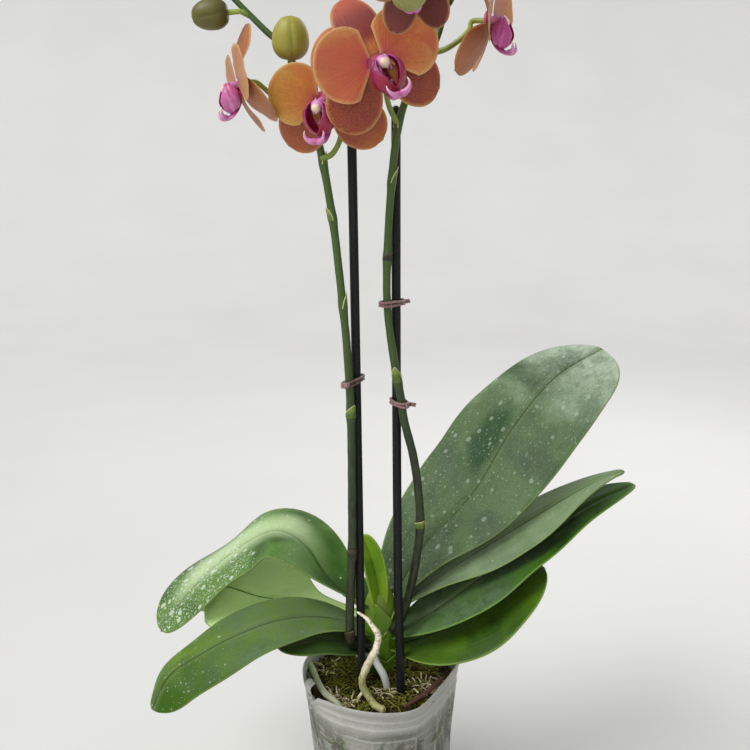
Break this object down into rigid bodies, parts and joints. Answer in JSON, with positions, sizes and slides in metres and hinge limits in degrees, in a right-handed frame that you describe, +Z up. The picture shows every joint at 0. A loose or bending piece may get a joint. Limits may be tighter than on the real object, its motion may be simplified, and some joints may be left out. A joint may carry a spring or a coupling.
{
  "type": "potted moth orchid",
  "caption": "Potted moth orchid with broad arching leaves and tall flower spikes tied to slim stakes, in a thin nursery pot.",
  "frame": {"origin": "centre of the pot's underside, on the surface that it stands on", "axes": "+Z up; -Y the side that the nearest blooms face; +X to the right seen from that side"},
  "size_m": [0.3551, 0.1962, 0.6112],
  "materials": {
    "pot_plastic": "thin translucent greyish white plastic, creased and stained green with algae",
    "moss": "damp fibrous moss and bark with pale tufts",
    "crown": "bright green clasping leaf bases, waxy",
    "leaf": "thick waxy green leaf with a satin bloom, pale specks and fine parallel veins",
    "young_leaf": "fresh yellow-green leaf, satin",
    "spike": "smooth green stem mottled brown and olive",
    "stake": "black plastic coating, fine ribs, satin",
    "tie": "dull brown plastic-covered wire",
    "root": "dry silvery grey-green velamen, matt",
    "petal": "soft orange to peach petal with cream edges and a rose centre, faintly sparkling",
    "side_sepal": "brick red petal with golden flecks and cream edges",
    "lip": "glossy crimson and magenta, violet at the top, pale edges",
    "column": "waxy lavender pink with a cream cap",
    "bud": "satin yellow-green closed sepals with darker seams"
  },
  "bodies": {
    "root": {"pot": "pot_plastic", "growing_medium": "moss", "leaf_crown": "crown", "leaf_right_1": "leaf", "leaf_right_2": "leaf", "leaf_right_3": "leaf", "leaf_right_4": "leaf", "leaf_left_1": "leaf", "leaf_left_2": "leaf", "leaf_left_3": "leaf", "leaf_left_4": "leaf", "young_leaf": "young_leaf", "stake_left": "stake", "stake_right": "stake", "flower_spike_left": "spike", "flower_spike_right": "spike", "tie_left": "tie", "tie_right_upper": "tie", "tie_right_lower": "tie", "aerial_root_front": "root", "aerial_root_middle": "root", "aerial_root_left": "root", "bloom_centre_back_sepal": "petal", "bloom_centre_left_sepal": "side_sepal", "bloom_centre_right_sepal": "side_sepal", "bloom_centre_left_petal": "petal", "bloom_centre_right_petal": "petal", "bloom_centre_lip": "lip", "bloom_centre_column": "column", "bloom_left_back_sepal": "petal", "bloom_left_left_sepal": "side_sepal", "bloom_left_right_sepal": "side_sepal", "bloom_left_left_petal": "petal", "bloom_left_right_petal": "petal", "bloom_left_lip": "lip", "bloom_left_column": "column", "bloom_far_left_back_sepal": "petal", "bloom_far_left_left_sepal": "side_sepal", "bloom_far_left_right_sepal": "side_sepal", "bloom_far_left_left_petal": "petal", "bloom_far_left_right_petal": "petal", "bloom_far_left_lip": "lip", "bloom_far_left_column": "column", "bloom_far_right_back_sepal": "petal", "bloom_far_right_left_sepal": "side_sepal", "bloom_far_right_right_sepal": "side_sepal", "bloom_far_right_left_petal": "petal", "bloom_far_right_right_petal": "petal", "bloom_far_right_lip": "lip", "bloom_far_right_column": "column", "bloom_back_back_sepal": "petal", "bloom_back_left_sepal": "side_sepal", "bloom_back_right_sepal": "side_sepal", "bloom_back_left_petal": "petal", "bloom_back_right_petal": "petal", "bloom_back_lip": "lip", "bloom_back_column": "column", "bud_left_tip": "bud", "bud_left_lower": "bud", "bud_right": "bud"}
  },
  "joints": []
}
